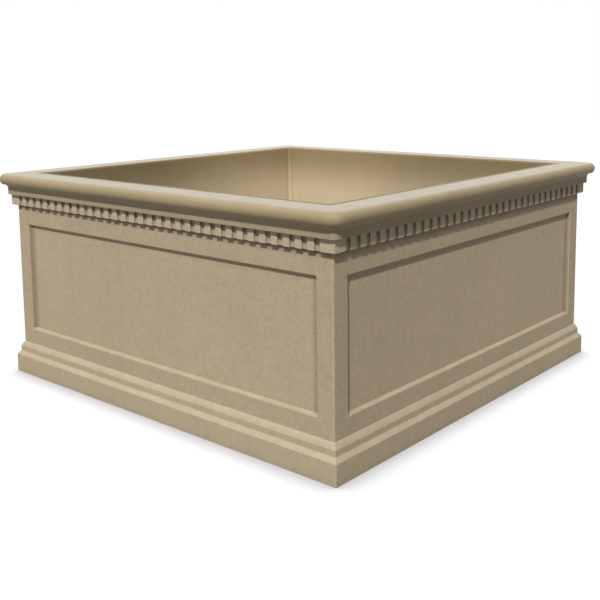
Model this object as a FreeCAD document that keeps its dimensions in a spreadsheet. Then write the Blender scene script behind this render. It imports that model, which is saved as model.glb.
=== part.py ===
import FreeCAD, Part

import math
import os
from types import SimpleNamespace

import Sketcher

Vector = FreeCAD.Vector

# Slack for telling places and volumes apart
NEAR = 1e-3

# Driving dimensions: name, value in millimetres (degrees for an angle), what it is
SIZES = [
    ("bodySide", 850, "width across the faces of two opposite walls"),
    ("panelThick", 14, "thickness of a wall panel at its frame"),
    ("panelFoot", 3, "gap under a wall panel and under the inner frame"),
    ("mitreGap", 0.1, "set-back of each mitred end from the corner's diagonal"),
    ("plinthFace", 37, "height of the plinth's upright face"),
    ("plinthSlope", 8, "rise of the slope above the plinth's face"),
    ("plinthBand", 10, "height of the upright band above that slope"),
    ("plinthCap", 10, "rise of the slope that meets the wall"),
    ("plinthProjection", 13, "how far the plinth's face stands out from the wall"),
    ("bandProjection", 6.5, "how far the plinth's band stands out from the wall"),
    ("capEdge", 1, "thickness of the plinth's top edge"),
    ("bottomRail", 32, "height of flat wall under the recessed field"),
    ("fieldHeight", 223, "height of the recessed field"),
    ("frieze", 40, "height of flat wall between the field and the dentils"),
    ("stile", 34, "width of flat wall beside the field"),
    ("fieldDepth", 7, "depth of the recessed field"),
    ("fieldBevel", 2.5, "width of the steep edge around the field"),
    ("dentilHeight", 22, "height of the dentil course"),
    ("dentilProjection", 9, "how far the dentils stand out from the wall"),
    ("dentilBacking", 5, "thickness of the strip behind the dentils"),
    ("dentilPitch", 25, "distance from one dentil to the next"),
    ("dentilGap", 11, "width of the gap between two dentils"),
    ("cornerBlock", 22, "least width of the solid block at each end of a course"),
    ("filletProjection", 16, "how far the rim's lowest band stands out from the wall"),
    ("filletHeight", 11.8, "height of the rim's lowest band"),
    ("coveRadius", 9.75, "radius of the hollow under the rim's roll"),
    ("quirk", 0.5, "flat step between the hollow and the roll"),
    ("rollRadius", 11.5, "radius of the rim's roll"),
    ("rollStart", 30, "angle from straight down at which the roll starts"),
    ("rimCorner", 25, "radius of the rim's outer corners in plan"),
    ("rimWidth", 62, "width of the rim ring over its top"),
    ("ledgeWidth", 5, "width of the ledge inside the rim that the tub's lip covers"),
    ("ledgeDepth", 6, "depth of that ledge below the rim's top"),
    ("lipClear", 1, "gap around the tub's lip and below it around the tub"),
    ("seatClear", 0.4, "gap between the tub's lip and the ledge"),
    ("linerThick", 5, "thickness of the tub's walls and floor"),
    ("linerDraft", 6, "how much narrower each side of the tub is at its foot"),
    ("wellRound", 6, "radius of the tub's upright inner corners"),
    ("lipRound", 4, "radius of the tub's inner top edge"),
    ("floorLevel", 33, "height of the underside of the floor board"),
    ("floorThick", 12, "thickness of the floor board"),
    ("floorClear", 1, "gap around the floor board"),
    ("angleThick", 3, "thickness of the angle posts and rails"),
    ("postLeg", 25, "leg of a corner post"),
    ("railLeg", 30, "leg of a base rail under the floor board"),
    ("topRailDrop", 25, "upright leg of a top rail"),
    ("topRailSetback", 1, "set-back of a top rail's edge from the rim's inner face"),
    ("bearerOffset", 200, "distance of each bearer from the middle"),
    ("bearerWidth", 45, "width of a bearer"),
    ("bearerClear", 2, "gap between a bearer's end and the base rails"),
    ("padLength", 60, "length of a rubber pad under a bearer"),
    ("padHeight", 6, "thickness of a rubber pad"),
    ("padInset", 10, "distance of the end pads from a bearer's ends"),
    ("screwShank", 4, "diameter of a screw's shank"),
    ("screwHead", 8, "diameter of a screw's head"),
    ("headHeight", 3, "height of a screw's head"),
    ("screwPoint", 2, "length of a screw's point"),
    ("screwClear", 0.1, "gap around a screw's shank in its hole"),
    ("headClear", 0.5, "gap around and above a sunk screw head"),
    ("holeSpare", 1, "depth of a blind hole past the screw's point"),
    ("screwInset", 60, "distance of the end screws from the end of a rail or post"),
    ("panelBite", 9, "length of a screw in a wall panel"),
    ("plinthBite", 8, "length of a screw in a plinth length"),
    ("rimBite", 14, "length of a screw in the rim"),
    ("bearerBite", 14, "length of a screw in a bearer"),
    ("drainHole", 42, "diameter of the hole in the tub's floor"),
    ("barrelClear", 0.2, "gap around the drain's barrel in that hole and in its nut"),
    ("flangeWidth", 11, "width of the drain's flange around the hole"),
    ("flangeThick", 4, "thickness of the drain's flange"),
    ("gasketThick", 2, "thickness of the gasket under the flange"),
    ("tailDrop", 31, "length of the drain's tail below the tub"),
    ("spigotLength", 20, "length of the drain's hose spigot, at the end of its tail"),
    ("spigotStep", 2.8, "how much thinner the spigot is than the barrel, all round"),
    ("drainBore", 30, "diameter of the drain's bore"),
    ("nutAcross", 58, "width across the flats of the drain's nut"),
    ("nutHeight", 10, "height of the drain's nut"),
    ("nutRoom", 8, "room around the nut in the floor board"),
    ("plugClear", 0.3, "gap around the plug in the drain's bore"),
    ("plugDepth", 18, "length of the plug below the flange's top"),
    ("plugChamfer", 1.5, "chamfer at the plug's foot"),
    ("plugRim", 6, "width of the plug's head past the bore"),
    ("plugHead", 4, "thickness of the plug's head"),
    ("neckRadius", 6, "radius of the plug's neck"),
    ("neckHeight", 7, "height of the plug's neck"),
    ("knobRadius", 11, "radius of the plug's knob"),
    ("knobHeight", 8, "height of the plug's knob"),
    ("sealRadius", 1.3, "radius of the seal ring's section"),
    ("sealClear", 0.05, "gap between the seal ring and its groove"),
    ("sealSqueeze", 0.1, "gap between the seal ring and the bore"),
    ("sealDrop", 7, "distance of the seal ring below the flange's top"),
]

SIDES = {"right": 0, "back": 90, "left": 180, "front": 270}
CORNERS = {"back_right": 0, "back_left": 90, "front_left": 180, "front_right": 270}

doc = FreeCAD.newDocument("square_planter")
sheet = doc.addObject("Spreadsheet::Sheet", "sizes")
for row, (alias, value, meaning) in enumerate(SIZES, 1):
    sheet.set(f"A{row}", meaning)
    sheet.set(f"B{row}", str(value))
    sheet.setAlias(f"B{row}", alias)
doc.recompute()


def text_of(amount):
    return amount.text if isinstance(amount, Dim) else repr(float(amount))


class Dim(float):
    """A length that keeps the sheet expression it is worked out with."""

    def __new__(cls, value, text):
        amount = super().__new__(cls, value)
        amount.text = text
        return amount

    def __add__(self, other):
        return Dim(float(self) + float(other), f"({self.text} + {text_of(other)})")

    def __radd__(self, other):
        return Dim(float(other) + float(self), f"({text_of(other)} + {self.text})")

    def __sub__(self, other):
        return Dim(float(self) - float(other), f"({self.text} - {text_of(other)})")

    def __rsub__(self, other):
        return Dim(float(other) - float(self), f"({text_of(other)} - {self.text})")

    def __mul__(self, other):
        return Dim(float(self) * float(other), f"({self.text} * {text_of(other)})")

    def __rmul__(self, other):
        return Dim(float(other) * float(self), f"({text_of(other)} * {self.text})")

    def __truediv__(self, other):
        return Dim(float(self) / float(other), f"({self.text} / {text_of(other)})")

    def __neg__(self):
        return Dim(-float(self), f"(-{self.text})")


def size_of(alias):
    return Dim(sheet.get(alias), f"sizes.{alias}")


def sine(angle):
    return Dim(math.sin(math.radians(angle)), f"sin({angle.text})")


def cosine(angle):
    return Dim(math.cos(math.radians(angle)), f"cos({angle.text})")


def whole(amount):
    return Dim(math.floor(amount), f"floor({amount.text})")


size = SimpleNamespace(**{alias: size_of(alias) for alias, value, meaning in SIZES})

# Heights of the courses, from the ground up
plinthTop = size.plinthFace + size.plinthSlope + size.plinthBand + size.plinthCap
fieldBottom = plinthTop + size.bottomRail
fieldTop = fieldBottom + size.fieldHeight
dentilBottom = fieldTop + size.frieze
bed = dentilBottom + size.dentilHeight

# Distances of the faces from the planter's middle, from the outside in
wallFace = size.bodySide / 2
panelInner = wallFace - size.panelThick
dentilFace = wallFace + size.dentilProjection

# The rim's section is a chain: band, hollow, flat step, roll
filletFace = wallFace + size.filletProjection
filletTop = bed + size.filletHeight
coveEdge = filletFace + size.coveRadius
coveTop = filletTop + size.coveRadius
rollFoot = coveEdge + size.quirk
rollCentre = rollFoot - size.rollRadius * sine(size.rollStart)
rollLevel = coveTop + size.rollRadius * cosine(size.rollStart)
rimEdge = rollCentre + size.rollRadius
rimTop = rollLevel + size.rollRadius
cornerCentre = rimEdge - size.rimCorner
ledgeEdge = rimEdge - size.rimWidth
ringInner = ledgeEdge - size.ledgeWidth
ledgeLevel = rimTop - size.ledgeDepth

# The tub hangs clear inside the rim and stands on the floor board
floorTop = size.floorLevel + size.floorThick
lipEdge = ledgeEdge - size.lipClear
lipBottom = ledgeLevel + size.seatClear
tubFace = ringInner - size.lipClear
tubFoot = tubFace - size.linerDraft
wellFloor = floorTop + size.linerThick

# The inner frame of angles
railEdge = panelInner - size.railLeg
baseRailHalf = panelInner - size.postLeg - size.railLeg
topRailEdge = ringInner + size.topRailSetback
topRailHalf = topRailEdge - size.postLeg
angleFace = panelInner - size.angleThick

# Where the screws stand
shankHole = size.screwShank / 2 + size.screwClear
postScrewOffset = panelInner - (size.postLeg + size.angleThick) / 2
postScrewLevels = [
    size.panelFoot + size.screwInset,
    (size.panelFoot + bed) / 2,
    bed - size.screwInset,
]
topRailScrewLevel = bed - (size.topRailDrop + size.angleThick) / 2
baseRailScrewLevel = (size.panelFoot + size.floorLevel - size.angleThick) / 2
rimScrewOffset = (topRailEdge + angleFace) / 2
topRailScrewPlaces = [-(topRailHalf - size.screwInset), 0, topRailHalf - size.screwInset]
baseRailScrewPlaces = [-(baseRailHalf - size.screwInset), 0, baseRailHalf - size.screwInset]

# The bearers under the floor board and their screws
bearerHalf = railEdge - size.bearerClear
bearerScrewEnd = bearerHalf - size.screwInset
bearerScrewPlaces = [-bearerScrewEnd, -bearerScrewEnd / 3, bearerScrewEnd / 3, bearerScrewEnd]
sunkHeadDepth = size.headHeight + size.headClear
sunkHeadRadius = size.screwHead / 2 + size.headClear

# The drain, from its flange down
barrelRadius = size.drainHole / 2 - size.barrelClear
flangeRadius = size.drainHole / 2 + size.flangeWidth
flangeBottom = wellFloor + size.gasketThick
flangeTop = flangeBottom + size.flangeThick
tailEnd = floorTop - size.tailDrop
spigotTop = tailEnd + size.spigotLength
spigotRadius = barrelRadius - size.spigotStep
nutCorner = size.nutAcross / math.sqrt(3)
plugRadius = size.drainBore / 2 - size.plugClear
sealOuter = size.drainBore / 2 - size.sealSqueeze
sealCentre = sealOuter - size.sealRadius
grooveRadius = sealCentre - size.sealRadius - size.sealClear
grooveHalf = size.sealRadius + size.sealClear
sealLevel = flangeTop - size.sealDrop

nodes = []


def keep(item, turn=0):
    """Count an object among the planter's pieces, turned about the upright axis."""
    item.Placement = FreeCAD.Placement(Vector(0, 0, 0), FreeCAD.Rotation(Vector(0, 0, 1), turn))
    nodes.append(item)


def new_body(label):
    return doc.addObject("PartDesign::Body", label)


def origin_item(body, role):
    return next(item for item in body.Origin.OriginFeatures if item.Role == role)


def bind(item, name, amount):
    """Tie a property to the sheet."""
    item.setExpression(name, amount.text)


def new_sketch(body, label, role, offset=0):
    """A sketch on one of the body's own planes, lifted off it by the offset."""
    sketch = body.newObject("Sketcher::SketchObject", label)
    sketch.AttachmentSupport = [(origin_item(body, role), "")]
    sketch.MapMode = "FlatFace"
    if offset:
        bind(sketch, "AttachmentOffset.Base.z", offset)
    return sketch


def limit(sketch, kind, *reference):
    """Add one dimension to a sketch and tie it to the sheet."""
    *target, amount = reference
    number = sketch.addConstraint(Sketcher.Constraint(kind, *target, float(amount)))
    if amount:
        bind(sketch, f"Constraints[{number}]", amount)


def fix_point(sketch, edge, end, point):
    limit(sketch, "DistanceX", -1, 1, edge, end, point[0])
    limit(sketch, "DistanceY", -1, 1, edge, end, point[1])


def draw_outline(sketch, points, arcs=None):
    """A closed outline. arcs gives the radius and centre of the edges that are round, by number."""
    arcs = arcs or {}
    corners = [Vector(float(across), float(along), 0) for across, along in points]
    ends = []
    for number, start in enumerate(corners):
        finish = corners[(number + 1) % len(corners)]
        curve = Part.LineSegment(start, finish)
        if number in arcs:
            radius, centre = arcs[number]
            middle = Vector(float(centre[0]), float(centre[1]), 0)
            spoke = ((start + finish) / 2 - middle).normalize() * float(radius)
            curve = Part.Arc(start, middle + spoke, finish)
        edge = sketch.addGeometry(curve)
        straight = sketch.getPoint(edge, 1).distanceToPoint(start) < NEAR
        ends.append((edge, 1, 2) if straight else (edge, 2, 1))
    for number, (edge, first, last) in enumerate(ends):
        after, joined, _ = ends[(number + 1) % len(ends)]
        sketch.addConstraint(Sketcher.Constraint("Coincident", edge, last, after, joined))
        fix_point(sketch, edge, first, points[number])
        if number in arcs:
            limit(sketch, "Radius", edge, arcs[number][0])


def draw_square(sketch, half):
    draw_outline(sketch, [(-half, -half), (half, -half), (half, half), (-half, half)])


def draw_circles(sketch, centres, radius):
    for across, along in centres:
        circle = Part.Circle(Vector(float(across), float(along), 0), Vector(0, 0, 1), float(radius))
        edge = sketch.addGeometry(circle)
        fix_point(sketch, edge, 3, (across, along))
        limit(sketch, "Radius", edge, radius)


def add_pad(body, label, sketch, length, symmetric=False, backwards=False):
    pad = body.newObject("PartDesign::Pad", label)
    pad.Profile = (sketch, [""])
    pad.SideType = "Symmetric" if symmetric else "One side"
    pad.Reversed = backwards
    bind(pad, "Length", length)
    return pad


def add_pocket(body, label, sketch, depth, backwards=False):
    """Cut against the sketch plane's normal, or along it when backwards is set."""
    doc.recompute()
    before = body.Shape.Volume
    pocket = body.newObject("PartDesign::Pocket", label)
    pocket.Profile = (sketch, [""])
    pocket.Reversed = backwards
    bind(pocket, "Length", depth)
    doc.recompute()
    if before - body.Shape.Volume < NEAR:
        raise RuntimeError(f"{label} cuts nothing")
    return pocket


def add_revolution(body, label, sketch, angle=360, backwards=False):
    """Turn a sketch about the upright line that its own first construction line gives."""
    turn = body.newObject("PartDesign::Revolution", label)
    turn.Profile = (sketch, [""])
    turn.ReferenceAxis = (sketch, ["Axis0"])
    turn.Angle = angle
    turn.Reversed = backwards
    return turn


def add_quarters(body, label, feature):
    """Repeat a feature on all four sides of the upright axis."""
    pattern = body.newObject("PartDesign::PolarPattern", label)
    pattern.Originals = [feature]
    pattern.Axis = (origin_item(body, "Z_Axis"), [""])
    pattern.Angle = 360
    pattern.Occurrences = 4
    body.Tip = pattern
    doc.recompute()
    return pattern


def draw_upright(sketch, across, low, high):
    """The construction line that a revolution turns about."""
    ends = [(across, low), (across, high)]
    line = Part.LineSegment(*[Vector(float(x), float(y), 0) for x, y in ends])
    edge = sketch.addGeometry(line, True)
    fix_point(sketch, edge, 1, ends[0])
    fix_point(sketch, edge, 2, ends[1])


def inner_edges(shape, half, low, high):
    """Names of the edges inside a square of that half width that run from low to high."""
    names = []
    for number, edge in enumerate(shape.Edges, 1):
        points = [vertex.Point for vertex in edge.Vertexes]
        levels = [point.z for point in points]
        inside = all(max(abs(point.x), abs(point.y)) < half + NEAR for point in points)
        if inside and abs(min(levels) - low) < NEAR and abs(max(levels) - high) < NEAR:
            names.append(f"Edge{number}")
    return names


def mitred_plan(inner, outer):
    """Plan of a length with mitred ends, on the side that faces +X."""
    gap = size.mitreGap
    return [
        (inner, -(inner - gap)),
        (outer, -(outer - gap)),
        (outer, outer - gap),
        (inner, inner - gap),
    ]


def make_wall(side, turn):
    """A wall panel with its recessed field, sloped edges and screw holes from the back."""
    body = new_body(f"wall_{side}")
    plan = new_sketch(body, "WallPlan", "XY_Plane", size.panelFoot)
    draw_outline(plan, mitred_plan(panelInner, wallFace))
    add_pad(body, "WallPad", plan, bed - size.panelFoot)

    field = wallFace - size.stile
    sections = []
    for label, depth, bevel in (("Edge", 0, 0), ("Bed", size.fieldDepth, size.fieldBevel)):
        section = new_sketch(body, f"Field{label}", "YZ_Plane", wallFace - depth)
        half = field - bevel
        low = fieldBottom + bevel
        high = fieldTop - bevel
        draw_outline(section, [(-half, low), (half, low), (half, high), (-half, high)])
        sections.append(section)
    recess = body.newObject("PartDesign::SubtractiveLoft", "FieldRecess")
    recess.Profile = sections[0]
    recess.Sections = [(sections[1], [""])]

    blind = new_sketch(body, "BlindHoles", "YZ_Plane", panelInner)
    ends = (-postScrewOffset, postScrewOffset)
    centres = [(along, level) for along in ends for level in postScrewLevels]
    centres += [(along, topRailScrewLevel) for along in topRailScrewPlaces]
    draw_circles(blind, centres, shankHole)
    add_pocket(body, "BlindHolesCut", blind, size.panelBite + size.holeSpare, backwards=True)

    through = new_sketch(body, "ThroughHoles", "YZ_Plane", panelInner)
    draw_circles(through, [(along, baseRailScrewLevel) for along in baseRailScrewPlaces], shankHole)
    add_pocket(body, "ThroughHolesCut", through, size.panelThick, backwards=True)
    keep(body, turn)


def make_plinth(side, turn):
    """A plinth length: upright face, slope, band and cap slope, mitred, with screw holes behind."""
    body = new_body(f"plinth_{side}")
    face = wallFace + size.plinthProjection
    band = wallFace + size.bandProjection
    slopeTop = size.plinthFace + size.plinthSlope
    section = new_sketch(body, "PlinthSection", "XZ_Plane")
    draw_outline(section, [
        (wallFace, 0),
        (face, 0),
        (face, size.plinthFace),
        (band, slopeTop),
        (band, slopeTop + size.plinthBand),
        (wallFace + size.capEdge, plinthTop),
        (wallFace, plinthTop),
    ])
    add_pad(body, "PlinthPad", section, 2 * face, symmetric=True)

    ends = new_sketch(body, "PlinthEnds", "XY_Plane", plinthTop)
    gap = size.mitreGap
    for way in (-1, 1):
        draw_outline(ends, [
            (panelInner, way * (panelInner - gap)),
            (face, way * (face - gap)),
            (face, way * (face + size.panelThick)),
            (panelInner, way * (face + size.panelThick)),
        ])
    add_pocket(body, "PlinthMitres", ends, plinthTop)

    holes = new_sketch(body, "PlinthHoles", "YZ_Plane", wallFace)
    draw_circles(holes, [(along, baseRailScrewLevel) for along in baseRailScrewPlaces], shankHole)
    add_pocket(body, "PlinthHolesCut", holes, size.plinthBite + size.holeSpare, backwards=True)
    keep(body, turn)


def make_dentil_course(side, turn):
    """A strip cut into dentils, with a solid block at each mitred end."""
    body = new_body(f"dentil_course_{side}")
    plan = new_sketch(body, "CoursePlan", "XY_Plane", dentilBottom)
    draw_outline(plan, mitred_plan(wallFace, dentilFace))
    add_pad(body, "CoursePad", plan, size.dentilHeight)

    room = dentilFace - size.cornerBlock - size.dentilGap / 2
    eachWay = whole(room / size.dentilPitch)
    first = -(eachWay * size.dentilPitch)
    back = wallFace + size.dentilBacking
    notch = new_sketch(body, "NotchPlan", "XY_Plane", bed)
    draw_outline(notch, [
        (back, first - size.dentilGap / 2),
        (dentilFace, first - size.dentilGap / 2),
        (dentilFace, first + size.dentilGap / 2),
        (back, first + size.dentilGap / 2),
    ])
    cut = add_pocket(body, "NotchCut", notch, size.dentilHeight)
    row = body.newObject("PartDesign::LinearPattern", "NotchRow")
    row.Originals = [cut]
    row.Direction = (origin_item(body, "Y_Axis"), [""])
    bind(row, "Length", 2 * eachWay * size.dentilPitch)
    bind(row, "Occurrences", 2 * eachWay + 1)
    body.Tip = row
    keep(body, turn)


def make_rim_ring():
    """The rim: a square ring with a ledge inside, and the moulding around it with round corners."""
    body = new_body("rim_ring")
    ring = new_sketch(body, "RingPlan", "XY_Plane", bed)
    draw_square(ring, cornerCentre)
    draw_square(ring, ringInner)
    add_pad(body, "RingPad", ring, rimTop - bed)

    points = [
        (cornerCentre, bed),
        (filletFace, bed),
        (filletFace, filletTop),
        (coveEdge, coveTop),
        (rollFoot, coveTop),
        (rollCentre, rimTop),
        (cornerCentre, rimTop),
    ]
    arcs = {
        2: (size.coveRadius, (coveEdge, filletTop)),
        4: (size.rollRadius, (rollCentre, rollLevel)),
    }
    section = new_sketch(body, "SideSection", "XZ_Plane")
    draw_outline(section, points, arcs)
    side = add_pad(body, "SideMoulding", section, 2 * cornerCentre, symmetric=True)
    add_quarters(body, "SideMouldings", side)

    section = new_sketch(body, "CornerSection", "XZ_Plane", cornerCentre)
    draw_outline(section, points, arcs)
    draw_upright(section, cornerCentre, bed, rimTop)
    corner = add_revolution(body, "CornerMoulding", section, 90, backwards=True)
    add_quarters(body, "CornerMouldings", corner)

    ledge = new_sketch(body, "LedgePlan", "XY_Plane", rimTop)
    draw_square(ledge, ledgeEdge)
    add_pocket(body, "LedgeCut", ledge, size.ledgeDepth)

    holes = new_sketch(body, "RimHoles", "XY_Plane", bed)
    draw_circles(holes, [(rimScrewOffset, along) for along in topRailScrewPlaces], shankHole)
    cut = add_pocket(body, "RimHolesCut", holes, size.rimBite + size.holeSpare, backwards=True)
    add_quarters(body, "RimHolesAround", cut)
    keep(body)


def make_corner_post(corner, turn):
    """An angle post inside a corner, with holes in both legs."""
    body = new_body(f"corner_post_{corner}")
    end = panelInner - size.postLeg
    plan = new_sketch(body, "PostPlan", "XY_Plane", size.panelFoot)
    draw_outline(plan, [
        (end, angleFace),
        (angleFace, angleFace),
        (angleFace, end),
        (panelInner, end),
        (panelInner, panelInner),
        (end, panelInner),
    ])
    add_pad(body, "PostPad", plan, bed - size.panelFoot)
    centres = [(postScrewOffset, level) for level in postScrewLevels]
    for label, role, way in (("AcrossX", "YZ_Plane", 1), ("AcrossY", "XZ_Plane", -1)):
        holes = new_sketch(body, f"Holes{label}", role, way * panelInner)
        draw_circles(holes, centres, shankHole)
        add_pocket(body, f"Holes{label}Cut", holes, size.angleThick, backwards=way < 0)
    keep(body, turn)


def make_base_rail(side, turn):
    """An angle rail at the foot of a wall, with its flat leg under the floor board."""
    body = new_body(f"base_rail_{side}")
    section = new_sketch(body, "RailSection", "XZ_Plane")
    under = size.floorLevel - size.angleThick
    draw_outline(section, [
        (angleFace, size.panelFoot),
        (panelInner, size.panelFoot),
        (panelInner, size.floorLevel),
        (railEdge, size.floorLevel),
        (railEdge, under),
        (angleFace, under),
    ])
    add_pad(body, "RailPad", section, 2 * baseRailHalf, symmetric=True)
    holes = new_sketch(body, "RailHoles", "YZ_Plane", panelInner)
    draw_circles(holes, [(along, baseRailScrewLevel) for along in baseRailScrewPlaces], shankHole)
    add_pocket(body, "RailHolesCut", holes, size.angleThick)
    keep(body, turn)


def make_top_rail(side, turn):
    """An angle rail at the head of a wall, with its flat leg under the rim."""
    body = new_body(f"top_rail_{side}")
    section = new_sketch(body, "RailSection", "XZ_Plane")
    under = bed - size.angleThick
    draw_outline(section, [
        (topRailEdge, under),
        (angleFace, under),
        (angleFace, bed - size.topRailDrop),
        (panelInner, bed - size.topRailDrop),
        (panelInner, bed),
        (topRailEdge, bed),
    ])
    add_pad(body, "RailPad", section, 2 * topRailHalf, symmetric=True)
    holes = new_sketch(body, "WallHoles", "YZ_Plane", panelInner)
    draw_circles(holes, [(along, topRailScrewLevel) for along in topRailScrewPlaces], shankHole)
    add_pocket(body, "WallHolesCut", holes, size.angleThick)
    holes = new_sketch(body, "RimHoles", "XY_Plane", bed)
    draw_circles(holes, [(rimScrewOffset, along) for along in topRailScrewPlaces], shankHole)
    add_pocket(body, "RimHolesCut", holes, size.angleThick)
    keep(body, turn)


def make_floor_board():
    """The board under the tub, notched round the posts, with a round hole for the drain's nut."""
    body = new_body("floor_board")
    edge = angleFace - size.floorClear
    notch = panelInner - size.postLeg - size.floorClear
    plan = new_sketch(body, "BoardPlan", "XY_Plane", size.floorLevel)
    quarter = [(edge, -notch), (edge, notch), (notch, notch), (notch, edge)]
    half = quarter + [(-notch, edge), (-notch, notch)]
    draw_outline(plan, half + [(-across, -along) for across, along in half])
    draw_circles(plan, [(0, 0)], nutCorner + size.nutRoom)
    add_pad(body, "BoardPad", plan, size.floorThick)

    centres = [(way * size.bearerOffset, along) for way in (-1, 1) for along in bearerScrewPlaces]
    heads = new_sketch(body, "HeadHoles", "XY_Plane", floorTop)
    draw_circles(heads, centres, sunkHeadRadius)
    add_pocket(body, "HeadHolesCut", heads, sunkHeadDepth)
    shanks = new_sketch(body, "ShankHoles", "XY_Plane", floorTop)
    draw_circles(shanks, centres, shankHole)
    add_pocket(body, "ShankHolesCut", shanks, size.floorThick)
    keep(body)


def make_bearer(name, way):
    """A timber under the floor board, from front to back."""
    body = new_body(f"bearer_{name}")
    middle = way * size.bearerOffset
    left = middle - size.bearerWidth / 2
    right = middle + size.bearerWidth / 2
    plan = new_sketch(body, "BearerPlan", "XY_Plane", size.padHeight)
    draw_outline(plan, [
        (left, -bearerHalf), (right, -bearerHalf), (right, bearerHalf), (left, bearerHalf)])
    add_pad(body, "BearerPad", plan, size.floorLevel - size.padHeight)
    holes = new_sketch(body, "BearerHoles", "XY_Plane", size.floorLevel)
    draw_circles(holes, [(middle, along) for along in bearerScrewPlaces], shankHole)
    add_pocket(body, "BearerHolesCut", holes, size.bearerBite + size.holeSpare)
    keep(body)


def make_liner():
    """The tub: tapered walls, a floor with a drain hole, and a lip that covers the rim's ledge."""
    body = new_body("liner")

    def tapered(label, low, floorHalf, topHalf, kind):
        foot = new_sketch(body, f"{label}Foot", "XY_Plane", low)
        draw_square(foot, floorHalf)
        head = new_sketch(body, f"{label}Head", "XY_Plane", rimTop)
        draw_square(head, topHalf)
        loft = body.newObject(f"PartDesign::{kind}", label)
        loft.Profile = foot
        loft.Sections = [(head, [""])]
        doc.recompute()

    tapered("TubOutside", floorTop, tubFoot, tubFace, "AdditiveLoft")
    lip = new_sketch(body, "LipPlan", "XY_Plane", lipBottom)
    draw_square(lip, lipEdge)
    add_pad(body, "Lip", lip, rimTop - lipBottom)
    wellFoot = tubFoot - size.linerThick
    wellFace = tubFace - size.linerThick
    tapered("Well", wellFloor, wellFoot, wellFace, "SubtractiveLoft")
    drain = new_sketch(body, "DrainPlan", "XY_Plane", wellFloor)
    draw_circles(drain, [(0, 0)], size.drainHole / 2)
    drained = add_pocket(body, "DrainCut", drain, size.linerThick)

    corners = body.newObject("PartDesign::Fillet", "WellCorners")
    corners.Base = (drained, inner_edges(drained.Shape, wellFace, wellFloor, rimTop))
    bind(corners, "Radius", size.wellRound)
    doc.recompute()
    mouth = body.newObject("PartDesign::Fillet", "WellMouth")
    mouth.Base = (corners, inner_edges(corners.Shape, wellFace, rimTop, rimTop))
    bind(mouth, "Radius", size.lipRound)
    keep(body)


def make_turned(label, points, arcs=None):
    """A piece turned about the planter's upright axis from half of its section."""
    body = new_body(label)
    section = new_sketch(body, "Section", "XZ_Plane")
    draw_outline(section, points, arcs)
    draw_upright(section, 0, tailEnd, flangeTop)
    add_revolution(body, "Turned", section)
    keep(body)


def make_drain():
    """The tub's drain: flanged barrel with a hose spigot, gasket, and nut under the tub's floor."""
    bore = size.drainBore / 2
    make_turned("drain_flange", [
        (bore, tailEnd),
        (spigotRadius, tailEnd),
        (spigotRadius, spigotTop),
        (barrelRadius, spigotTop),
        (barrelRadius, flangeBottom),
        (flangeRadius, flangeBottom),
        (flangeRadius, flangeTop),
        (bore, flangeTop),
    ])
    make_turned("drain_gasket", [
        (size.drainHole / 2, wellFloor),
        (flangeRadius, wellFloor),
        (flangeRadius, flangeBottom),
        (size.drainHole / 2, flangeBottom),
    ])

    body = new_body("drain_nut")
    plan = new_sketch(body, "NutPlan", "XY_Plane", floorTop)
    half = size.nutAcross / 2
    draw_outline(plan, [
        (nutCorner, 0),
        (nutCorner / 2, half),
        (-nutCorner / 2, half),
        (-nutCorner, 0),
        (-nutCorner / 2, -half),
        (nutCorner / 2, -half),
    ])
    draw_circles(plan, [(0, 0)], size.drainHole / 2)
    add_pad(body, "NutPad", plan, size.nutHeight, backwards=True)
    keep(body)


def make_plug():
    """The drain plug, with a groove for its seal ring and a knob to pull it by."""
    foot = flangeTop - size.plugDepth
    headTop = flangeTop + size.plugHead
    neckTop = headTop + size.neckHeight
    knobTop = neckTop + size.knobHeight
    knobRound = size.knobHeight / 2
    knobSide = size.knobRadius - knobRound
    make_turned("drain_plug", [
        (0, foot),
        (plugRadius - size.plugChamfer, foot),
        (plugRadius, foot + size.plugChamfer),
        (plugRadius, sealLevel - grooveHalf),
        (grooveRadius, sealLevel - grooveHalf),
        (grooveRadius, sealLevel + grooveHalf),
        (plugRadius, sealLevel + grooveHalf),
        (plugRadius, flangeTop),
        (size.drainBore / 2 + size.plugRim, flangeTop),
        (size.drainBore / 2 + size.plugRim, headTop),
        (size.neckRadius, headTop),
        (size.neckRadius, neckTop),
        (knobSide, neckTop),
        (size.knobRadius, neckTop + knobRound),
        (knobSide, knobTop),
        (0, knobTop),
    ], {
        12: (knobRound, (knobSide, neckTop + knobRound)),
        13: (knobRound, (knobSide, neckTop + knobRound)),
    })
    seal = doc.addObject("Part::Torus", "plug_seal")
    bind(seal, "Radius1", sealCentre)
    bind(seal, "Radius2", size.sealRadius)
    keep(seal)
    bind(seal, "Placement.Base.z", sealLevel)


def screw(length):
    """A screw whose head stands on the ground plane and whose shank points down."""
    head = size.screwHead / 2
    shank = size.screwShank / 2
    section = [
        (0, size.headHeight),
        (head / 2, size.headHeight),
        (head, size.headHeight / 2),
        (head, 0),
        (shank, 0),
        (shank, size.screwPoint - length),
        (0, -length),
    ]
    corners = [Vector(float(across), 0, float(level)) for across, level in section]
    face = Part.Face(Part.makePolygon(corners + corners[:1]))
    return face.revolve(Vector(0, 0, 0), Vector(0, 0, 1), 360)


def make_group(label, solids):
    """Identical small pieces as one node of separate solids."""
    group = doc.addObject("Part::Feature", label)
    group.Shape = Part.makeCompound(solids)
    keep(group)


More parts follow.
